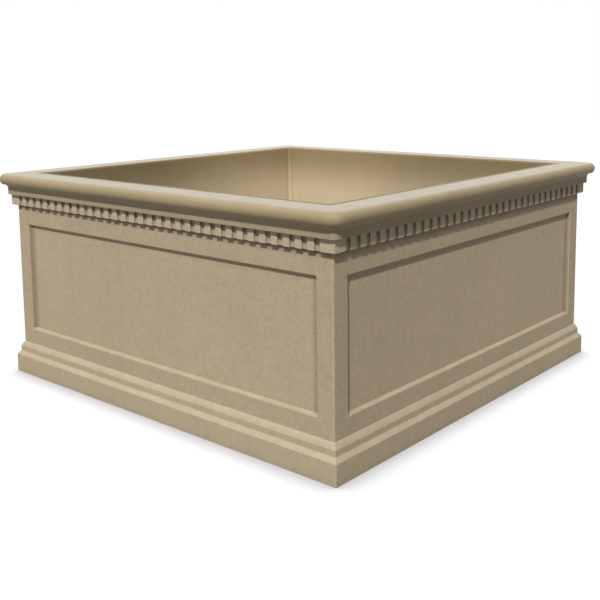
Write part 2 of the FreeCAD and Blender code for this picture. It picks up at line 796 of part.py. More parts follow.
def make_screws(label, length, heading, places, turns):
    """Screws driven along the heading, their heads seated at the places, repeated by turns."""
    pattern = screw(length)
    solids = []
    for turn in turns:
        around = FreeCAD.Placement(Vector(0, 0, 0), FreeCAD.Rotation(Vector(0, 0, 1), turn))
        for place in places:
            seat = FreeCAD.Placement(
                Vector(*[float(amount) for amount in place]),
                FreeCAD.Rotation(Vector(0, 0, -1), heading),
            )
            solids.append(pattern.transformed((around * seat).toMatrix(), True))
    make_group(label, solids)


def make_fasteners():
    outward = Vector(1, 0, 0)
    quarters = SIDES.values()
    ends = (-postScrewOffset, postScrewOffset)
    make_screws(
        "corner_screws", size.angleThick + size.panelBite, outward,
        [(angleFace, along, level) for along in ends for level in postScrewLevels], quarters)
    make_screws(
        "top_rail_screws", size.angleThick + size.panelBite, outward,
        [(angleFace, along, topRailScrewLevel) for along in topRailScrewPlaces], quarters)
    make_screws(
        "plinth_screws", size.angleThick + size.panelThick + size.plinthBite, outward,
        [(angleFace, along, baseRailScrewLevel) for along in baseRailScrewPlaces], quarters)
    make_screws(
        "rim_screws", size.angleThick + size.rimBite, Vector(0, 0, 1),
        [(rimScrewOffset, along, bed - size.angleThick) for along in topRailScrewPlaces], quarters)
    make_screws(
        "floor_screws", size.floorThick - sunkHeadDepth + size.bearerBite, Vector(0, 0, -1),
        [(size.bearerOffset, along, floorTop - sunkHeadDepth) for along in bearerScrewPlaces],
        (0, 180))


def make_foot_pads():
    """Rubber pads under both ends and the middle of each bearer."""
    end = bearerHalf - size.padInset - size.padLength
    solids = []
    for way in (-1, 1):
        left = way * size.bearerOffset - size.bearerWidth / 2
        for low in (-end - size.padLength, -size.padLength / 2, end):
            corner = Vector(float(left), float(low), 0)
            solids.append(Part.makeBox(
                float(size.bearerWidth), float(size.padLength), float(size.padHeight), corner))
    make_group("foot_pads", solids)


for side, turn in SIDES.items():
    make_wall(side, turn)
    make_plinth(side, turn)
    make_dentil_course(side, turn)
    make_base_rail(side, turn)
    make_top_rail(side, turn)
for corner, turn in CORNERS.items():
    make_corner_post(corner, turn)
make_rim_ring()
make_floor_board()
make_bearer("left", -1)
make_bearer("right", 1)
make_foot_pads()
make_liner()
make_drain()
make_plug()
make_fasteners()

doc.recompute()
for item in doc.Objects:
    if "Invalid" in item.State or "Error" in item.State:
        raise RuntimeError(f"{item.Label} failed: {item.State}")
for item in nodes:
    if item.Shape.isNull() or not item.Shape.isValid():
        raise RuntimeError(f"{item.Label} has no valid shape")

os.makedirs("parts", exist_ok=True)
for item in nodes:
    item.Shape.exportStep(f"parts/{item.Label}.step")
    print(f"{item.Label}: {len(item.Shape.Solids)} solids, {item.Shape.Volume / 1000:.1f} cm3")
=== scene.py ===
import math

import bmesh
import bpy
from mathutils import Matrix, Vector


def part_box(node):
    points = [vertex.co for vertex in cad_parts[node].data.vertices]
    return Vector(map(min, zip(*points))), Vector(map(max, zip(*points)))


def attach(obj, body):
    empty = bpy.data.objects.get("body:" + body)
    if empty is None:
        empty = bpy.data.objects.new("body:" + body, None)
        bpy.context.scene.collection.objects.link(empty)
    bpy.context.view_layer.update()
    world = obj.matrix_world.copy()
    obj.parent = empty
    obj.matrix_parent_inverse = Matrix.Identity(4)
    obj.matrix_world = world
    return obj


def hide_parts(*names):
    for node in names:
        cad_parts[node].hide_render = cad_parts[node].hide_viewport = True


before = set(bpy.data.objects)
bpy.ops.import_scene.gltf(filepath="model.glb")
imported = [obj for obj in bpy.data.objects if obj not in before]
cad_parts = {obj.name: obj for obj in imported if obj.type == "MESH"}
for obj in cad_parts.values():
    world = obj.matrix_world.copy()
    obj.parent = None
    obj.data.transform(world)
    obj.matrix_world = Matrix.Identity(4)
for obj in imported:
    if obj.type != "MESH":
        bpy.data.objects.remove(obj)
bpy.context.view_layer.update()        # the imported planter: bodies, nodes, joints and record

near = 1e-5              # slack for picking points by their place, in metres
past = 0.01              # how far a drill bit runs past a face
crisp = math.radians(20)                        # edges that turn more than this are rounded
smooth = math.radians(50)                       # and those that turn less than this are shaded round
sides = ["Right", "Back", "Left", "Front"]      # a quarter turn from one to the next


# Handling of a piece in edit mode
def switch(mode):
    bpy.ops.object.mode_set(mode=mode)


def selectOnly(piece):
    bpy.ops.object.select_all(action="DESELECT")
    piece.select_set(True)
    bpy.context.view_layer.objects.active = piece


def startPiece(name, addPrimitive, **place):
    bpy.ops.object.select_all(action="DESELECT")    # the frame leaves its nodes selected
    addPrimitive(**place)
    piece = bpy.context.object
    piece.name = name
    piece.data.name = name
    bpy.ops.object.transform_apply(location=True, rotation=True, scale=True)
    switch("EDIT")
    return piece


def pick(piece, kind, test):
    bpy.ops.mesh.select_mode(type=kind)
    bpy.ops.mesh.select_all(action="DESELECT")
    shape = bmesh.from_edit_mesh(piece.data)
    parts = {"VERT": shape.verts, "EDGE": shape.edges, "FACE": shape.faces}[kind]
    for part in parts:
        if test(part):
            part.select_set(True)
    shape.select_flush_mode()
    bmesh.update_edit_mesh(piece.data)


def pickAll(kind="VERT"):
    bpy.ops.mesh.select_mode(type=kind)
    bpy.ops.mesh.select_all(action="SELECT")


def reach(point):
    return max(abs(point.x), abs(point.y))          # how far out from the middle


def allAt(part, test):
    return all(test(vert.co) for vert in part.verts)


def soften(piece, width, test=lambda p: True, segments=2):
    # round the crisp edges that pass the test
    pick(piece, "EDGE", lambda edge: edge.calc_face_angle(0) > crisp and allAt(edge, test))
    bpy.ops.mesh.bevel(offset=width, segments=segments)


def drawChain(name, points):
    # a line of edges through the points, drawn vertex by vertex
    piece = startPiece(name, bpy.ops.mesh.primitive_plane_add, size=0.01, location=points[0])
    bpy.ops.mesh.merge(type="CENTER")
    pickAll()
    for fromPoint, toPoint in zip(points, points[1:]):
        drawStep(Vector(toPoint) - Vector(fromPoint))
    return piece


def drawStep(step):
    bpy.ops.mesh.extrude_vertices_move(TRANSFORM_OT_translate={"value": step})


def extrude(step):
    bpy.ops.mesh.extrude_region_move(TRANSFORM_OT_translate={"value": step})


def tidySurface():
    pickAll()
    bpy.ops.mesh.remove_doubles(threshold=near)
    bpy.ops.mesh.normals_make_consistent(inside=False)


def axisOf(low, high):
    # the foot of the upright axis through the middle of a box
    return Vector((*((low + high) / 2).xy, 0))


def turned(name, centre, section, steps=48):
    # a line of (radius, height) points spun about an upright axis through the centre
    piece = drawChain(name, [(centre.x + radius, centre.y, height) for radius, height in section])
    pickAll()
    bpy.ops.mesh.spin(steps=steps, angle=2 * math.pi, center=centre, axis=(0, 0, 1))
    tidySurface()
    return piece


def extrudeLoop(fromPoint, toPoint):
    # pull the picked square loop from one (out, up) point of a section to the next
    rise = toPoint[1] - fromPoint[1]
    grow = toPoint[0] / fromPoint[0]
    extrude((0, 0, rise))
    bpy.ops.transform.resize(value=(grow, grow, 1), center_override=(0, 0, 0))


def drawLoops(section):
    for fromPoint, toPoint in zip(section, section[1:]):
        extrudeLoop(fromPoint, toPoint)


def closeRing(piece):
    pick(piece, "EDGE", lambda edge: edge.is_boundary)
    bpy.ops.mesh.bridge_edge_loops()
    bpy.ops.mesh.select_all(action="SELECT")
    bpy.ops.mesh.normals_make_consistent(inside=False)


def squareRing(name, section):
    # a section of (out, up) points drawn round all four sides and closed
    piece = startPiece(name, bpy.ops.mesh.primitive_plane_add,
                       size=2 * section[0][0], location=(0, 0, section[0][1]))
    pickAll("EDGE")
    bpy.ops.mesh.delete(type="ONLY_FACE")
    pickAll("EDGE")
    drawLoops(section)
    closeRing(piece)
    return piece


def keepRightSide():
    # mitre the ring: only what lies between the two diagonals stays
    half = math.sqrt(0.5)
    for way in (half, -half):
        bpy.ops.mesh.select_all(action="SELECT")
        bpy.ops.mesh.bisect(plane_co=(0, 0, 0), plane_no=(half, way, 0),
                            use_fill=True, clear_inner=True)


def applyModifier(piece, kind, **settings):
    bpy.context.view_layer.objects.active = piece
    modifier = piece.modifiers.new(kind.lower(), kind)
    for key, value in settings.items():
        setattr(modifier, key, value)
    bpy.ops.object.modifier_apply(modifier=modifier.name)


def drill(piece, radius, centre, low, high):
    # a round hole through the piece, from one height to another
    switch("OBJECT")
    cutter = turned("drillBit", centre, [(0, low), (radius, low), (radius, high), (0, high)])
    switch("OBJECT")
    selectOnly(piece)
    applyModifier(piece, "BOOLEAN", object=cutter, operation="DIFFERENCE", solver="EXACT")
    bpy.data.objects.remove(cutter)
    switch("EDIT")


def finishMesh(piece):
    switch("OBJECT")
    bpy.ops.object.shade_smooth_by_angle(angle=smooth)
    applyModifier(piece, "WEIGHTED_NORMAL", keep_sharp=True)


def dress(piece, body, slot, material, *nodes):
    piece.data.materials.clear()
    piece.data.materials.append(material)
    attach(piece, body)
    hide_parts(*nodes)


def snake(name):
    # the CAD node's name for a piece's name
    return "".join("_" + letter.lower() if letter.isupper() else letter for letter in name)


def dressOne(piece, body, slot, material, node):
    finishMesh(piece)
    dress(piece, body, slot, material, node)


def dressRound(piece, kind, places, slot, material):
    # the same piece on all four sides or corners, each copy with its own mesh
    finishMesh(piece)
    copies = [piece]
    for quarter, side in enumerate(places[1:], 1):
        selectOnly(piece)
        bpy.ops.object.duplicate()
        copy = bpy.context.object
        copy.name = kind + side
        copy.data.name = kind + side
        copy.rotation_euler.z = quarter * math.pi / 2
        bpy.ops.object.transform_apply(rotation=True)
        copies.append(copy)
    for copy, side in zip(copies, places):  # once all are made, so that none inherits another's node
        dress(copy, "case", slot, material, snake(kind + side))


# Shader nodes
noiseBand = (0.3, 0.7)       # where most of a noise's values lie
toneBand = (0.25, 0.75)      # and most of the sand's tones
work = {}                    # the node tree that is being made


def addNode(kind, settings=None, **sockets):
    node = work["tree"].nodes.new("ShaderNode" + kind)
    for key, value in (settings or {}).items():
        setattr(node, key, value)
    for name, value in sockets.items():
        feed(value, node.inputs[name.replace("_", " ")])
    return node


def feed(value, socket):
    if isinstance(value, bpy.types.NodeSocket):
        work["tree"].links.new(value, socket)
    else:
        socket.default_value = value


def inOrder(kind, settings, *values):
    # a node whose sockets take the values in their order
    node = addNode(kind, settings)
    for socket, value in zip(node.inputs, values):
        feed(value, socket)
    return node.outputs[0]


def calc(operation, first, second=0.0, clamp=False):
    return inOrder("Math", {"operation": operation, "use_clamp": clamp}, first, second)


def times(first, second):
    return calc("MULTIPLY", first, second)


def share(first, second, part):
    # so much of one value, and the rest of another
    return calc("ADD", times(first, part), times(second, 1 - part))


def remap(value, fromLow, fromHigh, toLow=0.0, toHigh=1.0):
    limits = (fromLow, fromHigh, toLow, toHigh)
    return inOrder("MapRange", {"interpolation_type": "SMOOTHSTEP"}, value, *limits)


def blendColour(kind, amount, first, second):
    node = addNode("Mix", {"data_type": "RGBA", "blend_type": kind})
    feed(amount, node.inputs[0])
    feed(first, node.inputs[6])       # the first colour's socket
    feed(second, node.inputs[7])
    return node.outputs[2]


def tint(colour, value):
    return addNode("HueSaturation", Color=colour, Value=value).outputs["Color"]


def vary(colour, value, tones, band=noiseBand):
    # darken and lighten a colour from one tone to another
    return tint(colour, remap(value, *band, *tones))


def layOver(shade, look, **layers):
    # lay dirt or wear over a colour where its mask is, as strongly as the look says
    for name, (mask, over) in layers.items():
        shade = blendColour("MIX", times(mask, look[name]), shade, look[over])
    return shade


def place():
    return addNode("TexCoord").outputs["Object"]


def split(vector):
    return addNode("SeparateXYZ", Vector=vector).outputs


def facingUp():
    return split(addNode("NewGeometry").outputs["Normal"])["Z"]


def noise(vector, scale, detail=2.0, roughness=0.5):
    node = addNode("TexNoise", Vector=vector, Scale=scale, Detail=detail, Roughness=roughness)
    return node.outputs["Fac"]


def cells(vector, scale):
    return addNode("TexVoronoi", Vector=vector, Scale=scale).outputs["Distance"]


def stretch(vector, scale):
    return addNode("Mapping", Vector=vector, Scale=scale).outputs["Vector"]


def bump(height, depth, under=None):
    node = addNode("Bump", Height=height, Distance=depth, Strength=1.0)
    if under is not None:
        feed(under, node.inputs["Normal"])
    return node.outputs["Normal"]


def newGroup(name, **inputs):
    group = bpy.data.node_groups.new(name, "ShaderNodeTree")
    work["tree"] = group
    for label, value in inputs.items():
        socket = group.interface.new_socket(label, in_out="INPUT", socket_type="NodeSocketFloat")
        socket.default_value = value
    return group.nodes.new("NodeGroupInput").outputs


def giveOut(**values):
    group = work["tree"]
    for label in values:
        group.interface.new_socket(label, in_out="OUTPUT", socket_type="NodeSocketFloat")
    made = group.nodes.new("NodeGroupOutput")
    for label, value in values.items():
        feed(value, made.inputs[label])
    return group


def useGroup(group, **sockets):
    return addNode("Group", {"node_tree": group}, **sockets).outputs


def startTree(owner):
    owner.use_nodes = True
    owner.node_tree.nodes.clear()
    work["tree"] = owner.node_tree
    return owner


def newMaterial(name, **constants):
    material = startTree(bpy.data.materials.new(name))
    shader = addNode("BsdfPrincipled", **constants)
    addNode("OutputMaterial", Surface=shader.outputs[0])
    return material, shader, place()


def plugIn(shader, colour, roughness, normal):
    feed(colour, shader.inputs["Base Color"])
    feed(roughness, shader.inputs["Roughness"])
    feed(normal, shader.inputs["Normal"])


def roughCast(where, height, look):
    # fine grain over a slow swell of the surface
    swell = bump(noise(where, look["swells"]), look["swell"])
    return bump(height, look["grainDepth"], swell)


# Sand grain: rounded grains, their tone, and the pinholes that casting leaves
sandGrain = dict(
    clusters=0.22, lumps=0.7, lumpShare=0.55, speckShare=0.6, rare=(0.55, 0.68), pinhole=(0.10, 0.05),
)


def makeGrainGroup():
    given = newGroup("sandGrain", Grains=900.0, Pits=60.0)
    where = place()
    grains = given["Grains"]
    pits = given["Pits"]
    speck = noise(where, grains, 2.0, 0.6)
    cluster = noise(where, times(grains, sandGrain["clusters"]), 3.0, 0.6)
    cell = cells(where, times(grains, sandGrain["lumps"]))
    lump = calc("SUBTRACT", 1.0, cell, clamp=True)
    rare = remap(noise(where, pits, 1.0), *sandGrain["rare"])
    pinhole = remap(cells(where, pits), *sandGrain["pinhole"])
    return giveOut(Tone=share(speck, cluster, sandGrain["speckShare"]),
                   Height=share(lump, cluster, sandGrain["lumpShare"]),
                   Pinhole=times(pinhole, rare))


# Folds, where an occlusion mask lays dirt and painted shade, and arrises that hands and weather rub
# pale
foldAndArris = dict(patches=70.0, least=0.55, Fold=(0.95, 0.35), Arris=(0.85, 0.45), samples=8)


def makeFoldGroup():
    given = newGroup("foldAndArris", Fold=0.018, Arris=0.004)
    patchy = remap(noise(place(), foldAndArris["patches"], 3.0), *noiseBand,
                   foldAndArris["least"], 1.0)
    masks = {}
    for label, inside in (("Fold", False), ("Arris", True)):
        settings = {"samples": foldAndArris["samples"], "only_local": True, "inside": inside}
        closed = addNode("AmbientOcclusion", settings, Distance=given[label]).outputs["AO"]
        masks[label] = times(remap(closed, *foldAndArris[label]), patchy)
    return giveOut(**masks)


# Slow changes over a whole face: drift of tone, rain streaks, dust and painted light on upward faces,
# and a ragged band darker towards the foot
slowChange = dict(
    drifts=5.0, streaks=(38.0, 38.0, 2.2), dust=28.0, dustLeast=0.4, ledge=(0.25, 0.6), footNoise=45.0,
)


def makeWeatherGroup():
    given = newGroup("weather", Foot=0.008)
    where = place()
    dusty = remap(noise(where, slowChange["dust"], 3.0), *toneBand, slowChange["dustLeast"], 1.0)
    ragged = times(noise(where, slowChange["footNoise"], 3.0), given["Foot"])
    level = calc("SUBTRACT", split(where)["Z"], ragged)
    return giveOut(Drift=noise(where, slowChange["drifts"], 3.0, 0.55),
                   Streak=noise(stretch(where, slowChange["streaks"]), 1.0, 3.0, 0.6),
                   Ledge=times(remap(facingUp(), *slowChange["ledge"]), dusty),
                   Foot=remap(level, given["Foot"], 0.0))


# How far along its wall and how far out from the middle a point lies, on any of the four sides
def makeWallGroup():
    newGroup("alongWall")
    spot = split(place())
    across = calc("ABSOLUTE", spot["X"])
    away = calc("ABSOLUTE", spot["Y"])
    onRight = calc("GREATER_THAN", across, away)
    onFront = calc("SUBTRACT", 1.0, onRight)
    along = calc("ADD", times(onRight, spot["Y"]), times(onFront, spot["X"]))
    return giveOut(Along=along, Out=calc("MAXIMUM", across, away))


grainGroup = makeGrainGroup()
foldGroup = makeFoldGroup()
weatherGroup = makeWeatherGroup()
wallGroup = makeWallGroup()

wallLow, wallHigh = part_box("wall_right")
wallFace = wallHigh.x        # distance of the walls' faces from the middle
bed = wallHigh.z             # where the rim lies on the walls
dentilLow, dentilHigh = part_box("dentil_course_right")
tubLow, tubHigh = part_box("liner")
boardLow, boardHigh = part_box("floor_board")

# Wall panels with their recessed fields, whose painted shade follows the same sizes
wall = dict(
    stile=0.034, fieldLow=0.097, fieldHigh=0.320, fieldDepth=0.007, fieldBevel=0.0025, arris=0.0018,
    fieldRound=0.0014,
)

# Cast stone of the walls, plinth and dentils
castStone = dict(
    colour=(0.405, 0.323, 0.212, 1), pale=(0.54, 0.46, 0.345, 1), dirt=(0.10, 0.075, 0.042, 1),
    rain=(0.62, 0.56, 0.46, 1), grains=850.0, grainDepth=0.00022, grainTones=(0.84, 1.14),
    driftTones=(0.975, 1.025), mottle=75.0, mottleTones=(0.965, 1.035), frameTone=0.955, swells=9.0,
    swell=0.0012, rough=(0.2, 0.8, 0.64, 0.84), streaks=(0.52, 0.80, 0.0, 0.10), soot=60.0,
    shadowLeast=0.6, shadowDrop=0.015, shadowBack=(0.003, 0.001), courseFoot=0.004, courseHead=0.006,
    gapBack=(-0.001, -0.0035), wornRise=0.002, wornFront=(-0.0015, -0.0005), sunk=(-0.001, -0.004),
    raised=(-0.004, -0.001), frameFront=(0.0015, 0.0005), edgeWide=0.015, edgeFull=0.003,
    headShare=0.35, gap=0.45, worn=0.22, under=0.75, edge=0.38, fold=0.50, pinhole=0.55, arris=0.20,
    ledge=0.42, foot=0.10,
)


def makeCastStone():
    look = castStone
    material, shader, where = newMaterial("castStone", Specular_IOR_Level=0.35)
    grain = useGroup(grainGroup, Grains=look["grains"])
    fold = useGroup(foldGroup)
    weather = useGroup(weatherGroup)
    onWall = useGroup(wallGroup)
    level = split(where)["Z"]
    mottle = noise(where, look["mottle"], 3.0, 0.6)
    shade = vary(look["colour"], grain["Tone"], look["grainTones"], toneBand)
    shade = vary(shade, weather["Drift"], look["driftTones"])
    shade = vary(shade, mottle, look["mottleTones"])
    streak = remap(weather["Streak"], *look["streaks"])
    shade = blendColour("MULTIPLY", streak, shade, look["rain"])

    def outwards(name, base=wallFace):
        # rises from 0 to 1 between two distances from a face
        return remap(onWall["Out"], *(base + distance for distance in look[name]))

    # painted shade in the upper gaps between the dentils, and a painted shadow on the wall under them
    inCourse = remap(level, dentilLow.z + look["courseFoot"], dentilHigh.z - look["courseHead"])
    gap = times(inCourse, outwards("gapBack", dentilHigh.x))
    patchyShadow = remap(noise(where, look["soot"], 3.0), *noiseBand, look["shadowLeast"], 1.0)
    # the painted shadow under the dentils, broken up by noise
    under = times(remap(level, dentilLow.z - look["shadowDrop"], dentilLow.z), patchyShadow)
    under = times(under, outwards("shadowBack"))
    worn = times(remap(level, dentilLow.z, dentilLow.z + look["wornRise"]),
                 outwards("wornFront", dentilHigh.x))
    # and painted shade along the top and the upright edges of the recessed fields
    sunk = times(outwards("sunk"), outwards("raised", wallFace - wall["fieldDepth"]))
    side = wallFace - wall["stile"] - wall["fieldBevel"]
    edge = remap(calc("ABSOLUTE", onWall["Along"]),
                 side - look["edgeWide"], side - look["edgeFull"])
    head = remap(level, wall["fieldHigh"] - look["edgeWide"], wall["fieldHigh"] - look["edgeFull"])
    edge = calc("MAXIMUM", edge, times(head, look["headShare"]))
    shade = layOver(shade, look, gap=(gap, "dirt"), worn=(worn, "pale"),
                    under=(under, "dirt"), edge=(times(edge, sunk), "dirt"))
    # the raised frame is a little darker than the fields
    raised = times(outwards("raised"), outwards("frameFront"))
    shade = tint(shade, remap(raised, 0.0, 1.0, 1.0, look["frameTone"]))
    # dirt and painted shade in the folds, dirt in the pinholes, rubbed arrises, dust and painted
    # light on upward faces, and a ragged band darker towards the foot
    shade = layOver(shade, look, fold=(fold["Fold"], "dirt"), pinhole=(grain["Pinhole"], "dirt"),
                    arris=(fold["Arris"], "pale"), ledge=(weather["Ledge"], "pale"),
                    foot=(weather["Foot"], "dirt"))
    rough = remap(grain["Tone"], *look["rough"])
    pitted = calc("SUBTRACT", grain["Height"], grain["Pinhole"])
    plugIn(shader, shade, rough, roughCast(where, pitted, look))
    return material


# The rim: the same stone, rubbed down to a satin sheen
satinRim = dict(
    colour=(0.328, 0.260, 0.147, 1), pale=(0.46, 0.39, 0.265, 1), dirt=(0.09, 0.068, 0.036, 1),
    band=(0.335, 0.272, 0.175, 1), bare=(0.406, 0.403), grains=700.0, grainDepth=0.00004,
    grainTones=(0.92, 1.07), driftTones=(0.95, 1.05), swells=12.0, swell=0.0010, rubs=24.0,
    rough=(0.39, 0.53), foldRough=0.35, foldReach=0.014, polish=(0.65, 1.0, 0.0, 0.9), fold=0.25,
    arris=0.30, ledge=0.35,
)


def makeSatinRim():
    look = satinRim
    material, shader, where = newMaterial("satinRim", Specular_IOR_Level=0.05, Coat_Roughness=0.34)
    grain = useGroup(grainGroup, Grains=look["grains"])
    fold = useGroup(foldGroup, Fold=look["foldReach"])
    weather = useGroup(weatherGroup)
    # below the roll the stone is bare and dull
    bare = remap(split(where)["Z"], *look["bare"])
    shade = blendColour("MIX", bare, look["colour"], look["band"])
    shade = vary(shade, grain["Tone"], look["grainTones"], toneBand)
    shade = vary(shade, weather["Drift"], look["driftTones"])
    # dirt and painted shade in the hollow and folds, rubbed arrises, dust and painted light on upward
    # faces
    shade = layOver(shade, look, fold=(fold["Fold"], "dirt"), arris=(fold["Arris"], "pale"),
                    ledge=(weather["Ledge"], "pale"))
    rubbed = remap(noise(where, look["rubs"], 4.0, 0.6), *noiseBand, *look["rough"])
    dull = calc("ADD", rubbed, times(fold["Fold"], look["foldRough"]), clamp=True)
    # hands and rain polish the top, down to the roll's shoulder
    feed(remap(facingUp(), *look["polish"]), shader.inputs["Coat Weight"])
    plugIn(shader, shade, dull, roughCast(where, grain["Height"], look))
    return material


# The tub: smooth moulded composite, darker near the brim, stained where water stood round the drain
smoothTub = dict(
    colour=(0.46, 0.38, 0.255, 1), brim=(0.232, 0.178, 0.093, 1), dirt=(0.14, 0.105, 0.055, 1),
    water=(0.72, 0.66, 0.55, 1), towardBrim=(0.313, 0.440), wanders=6.0, wander=0.03, grains=600.0,
    pits=25.0, grainTones=(0.96, 1.04), grainDepth=0.00004, foldReach=0.03,
    streaks=(0.5, 0.8, 0.0, 0.14), stains=14.0, stainEdge=0.12, stainWide=(0.16, 0.06),
    stainHigh=(0.02, 0.008), rough=(0.3, 0.8, 0.44, 0.62), swells=7.0, swell=0.0025, stain=0.45,
    fold=0.45, pinhole=0.35,
)


def makeSmoothTub():
    look = smoothTub
    material, shader, where = newMaterial("smoothTub", Specular_IOR_Level=0.2)
    grain = useGroup(grainGroup, Grains=look["grains"], Pits=look["pits"])
    fold = useGroup(foldGroup, Fold=look["foldReach"])
    weather = useGroup(weatherGroup)
    spot = split(where)
    wander = times(noise(where, look["wanders"]), look["wander"])
    towardBrim = remap(calc("ADD", spot["Z"], wander), *look["towardBrim"])
    shade = blendColour("MIX", towardBrim, look["colour"], look["brim"])
    shade = vary(shade, grain["Tone"], look["grainTones"], toneBand)
    streak = remap(weather["Streak"], *look["streaks"])
    shade = blendColour("MULTIPLY", streak, shade, look["water"])
    flat = addNode("CombineXYZ", X=spot["X"], Y=spot["Y"]).outputs[0]
    fromDrain = addNode("VectorMath", {"operation": "LENGTH"}, Vector=flat).outputs["Value"]
    uneven = times(noise(where, look["stains"], 4.0), look["stainEdge"])
    low = remap(spot["Z"], *(tubLow.z + height for height in look["stainHigh"]))
    stain = times(remap(calc("ADD", fromDrain, uneven), *look["stainWide"]), low)
    # the stain round the drain, dirt and painted shade in the folds, dirt in the pinholes
    shade = layOver(shade, look, stain=(stain, "dirt"), fold=(fold["Fold"], "dirt"),
                    pinhole=(grain["Pinhole"], "dirt"))
    rough = remap(weather["Streak"], *look["rough"])
    plugIn(shader, shade, rough, roughCast(where, grain["Height"], look))
    return material


# Drawn aluminium of the posts and rails: fine lines along each length, dull oxide, dirt and painted
# shade in the folds
drawnMetal = dict(
    colour=(0.58, 0.59, 0.60, 1), patched=(0.40, 0.405, 0.41, 1), dirt=(0.10, 0.09, 0.08, 1),
    fine=900.0, long=3.0, tones=(0.90, 1.08), depth=0.00003, rough=(0.28, 0.40), oxide=35.0,
    oxidised=(0.42, 0.72), patchRough=0.18, reach=dict(Fold=0.008), patch=0.6, fold=0.5,
)


def finishPatchy(material, shader, look, fine, patch):
    # a fine noise tones, roughens and lifts the surface, under patches, rubbed arrises, and dirt and
    # painted shade in the folds
    fold = useGroup(foldGroup, **look["reach"])
    layers = {"patch": (patch, "patched")}
    if "arris" in look:
        layers["arris"] = (fold["Arris"], "worn")
    shade = vary(look["colour"], fine, look["tones"])
    shade = layOver(shade, look, **layers, fold=(fold["Fold"], "dirt"))
    rough = calc("ADD", remap(fine, *noiseBand, *look["rough"]), times(patch, look["patchRough"]))
    plugIn(shader, shade, rough, bump(fine, look["depth"]))
    return material


def makeDrawnMetal(name, upright):
    look = drawnMetal
    material, shader, where = newMaterial(name, Metallic=1.0)
    fine, long = look["fine"], look["long"]
    if upright:
        lines = stretch(where, (fine, fine, long))
    else:
        onWall = useGroup(wallGroup)
        lines = addNode("CombineXYZ", X=times(onWall["Along"], long), Y=times(onWall["Out"], fine),
                        Z=times(split(where)["Z"], fine)).outputs[0]
    oxide = remap(noise(where, look["oxide"], 4.0, 0.6), *look["oxidised"])
    return finishPatchy(material, shader, look, noise(lines, 1.0, 3.0, 0.6), oxide)


# Floor board: veneer grain on its faces, plies on its edges
plywood = dict(
    veneer=(0.46, 0.31, 0.165, 1), grain=(0.28, 0.165, 0.075, 1), glue=(0.22, 0.125, 0.055, 1),
    water=(0.55, 0.5, 0.45, 1), rings=(3.0, 45.0, 8.0), pores=(40.0, 1400.0, 1400.0),
    ringed=(0.35, 0.68), poreTones=(0.35, 0.7, 1.06, 0.86), layers=7, layer=(0.44, 0.54),
    edge=(0.6, 0.3), damp=(0.52, 0.72, 0.0, 0.35), damps=8.0, rough=(0.62, 0.8), ringRelief=0.4,
    poreRelief=0.6, relief=0.0003, ply=0.7,
)


def makePlywood():
    look = plywood
    material, shader, where = newMaterial("plywood", Specular_IOR_Level=0.3)
    rings = noise(stretch(where, look["rings"]), 1.0, 4.0, 0.65)
    pores = noise(stretch(where, look["pores"]), 1.0)
    ringed = remap(rings, *look["ringed"])
    shade = blendColour("MIX", ringed, look["veneer"], look["grain"])
    shade = tint(shade, remap(pores, *look["poreTones"]))
    height = calc("SUBTRACT", split(where)["Z"], boardLow.z)
    depth = calc("DIVIDE", height, boardHigh.z - boardLow.z)
    layer = calc("FRACT", times(depth, look["layers"] / 2))
    edge = remap(calc("ABSOLUTE", facingUp()), *look["edge"])
    ply = times(edge, remap(layer, *look["layer"]))
    shade = layOver(shade, look, ply=(ply, "glue"))
    damp = remap(noise(where, look["damps"], 4.0), *look["damp"])
    shade = blendColour("MULTIPLY", damp, shade, look["water"])
    rough = remap(pores, *noiseBand, *look["rough"])
    relief = calc("SUBTRACT", times(rings, look["ringRelief"]), times(pores, look["poreRelief"]))
    plugIn(shader, shade, rough, bump(relief, look["relief"]))
    return material


# Bearers: sawn softwood, its rings running from end to end
softwood = dict(
    early=(0.50, 0.36, 0.20, 1), late=(0.30, 0.18, 0.085, 1), worn=(0.58, 0.45, 0.28, 1),
    bends=(9.0, 1.5, 9.0), bend=0.03, pithOut=0.16, pithDown=0.05, rings=220.0, lateWood=(0.25, 0.95),
    fibres=(900.0, 25.0, 900.0), fibreTones=(0.85, 1.12), foldReach=0.01, rough=(0.68, 0.85),
    relief=0.0003, arris=0.3,
)


def makeSoftwood():
    look = softwood
    material, shader, where = newMaterial("sawnTimber", Specular_IOR_Level=0.3)
    spot = split(where)
    bend = times(noise(stretch(where, look["bends"]), 1.0, 3.0), look["bend"])
    across = calc("SUBTRACT", calc("ABSOLUTE", spot["X"]), look["pithOut"])
    above = calc("ADD", spot["Z"], look["pithDown"])
    squares = [calc("POWER", distance, 2.0) for distance in (across, above)]
    fromPith = calc("SQRT", calc("ADD", *squares))
    ring = calc("FRACT", times(calc("ADD", fromPith, bend), look["rings"]))
    late = remap(ring, *look["lateWood"])
    fibre = noise(stretch(where, look["fibres"]), 1.0, 3.0)
    shade = blendColour("MIX", late, look["early"], look["late"])
    shade = vary(shade, fibre, look["fibreTones"])
    fold = useGroup(foldGroup, Fold=look["foldReach"])
    shade = layOver(shade, look, arris=(fold["Arris"], "worn"))
    rough = remap(fibre, *noiseBand, *look["rough"])
    plugIn(shader, shade, rough, bump(calc("ADD", fibre, late), look["relief"]))
    return material


# Rubber of the pads and seals, bloomed grey in patches
rubber = dict(
    black=(0.018, 0.018, 0.018, 1), grey=(0.06, 0.058, 0.054, 1), dust=(0.16, 0.14, 0.11, 1),
    skin=1500.0, skinDepth=0.00006, blooms=60.0, bloomed=(0.45, 0.75), rough=(0.62, 0.85), bloom=0.5,
    ledge=0.25,
)


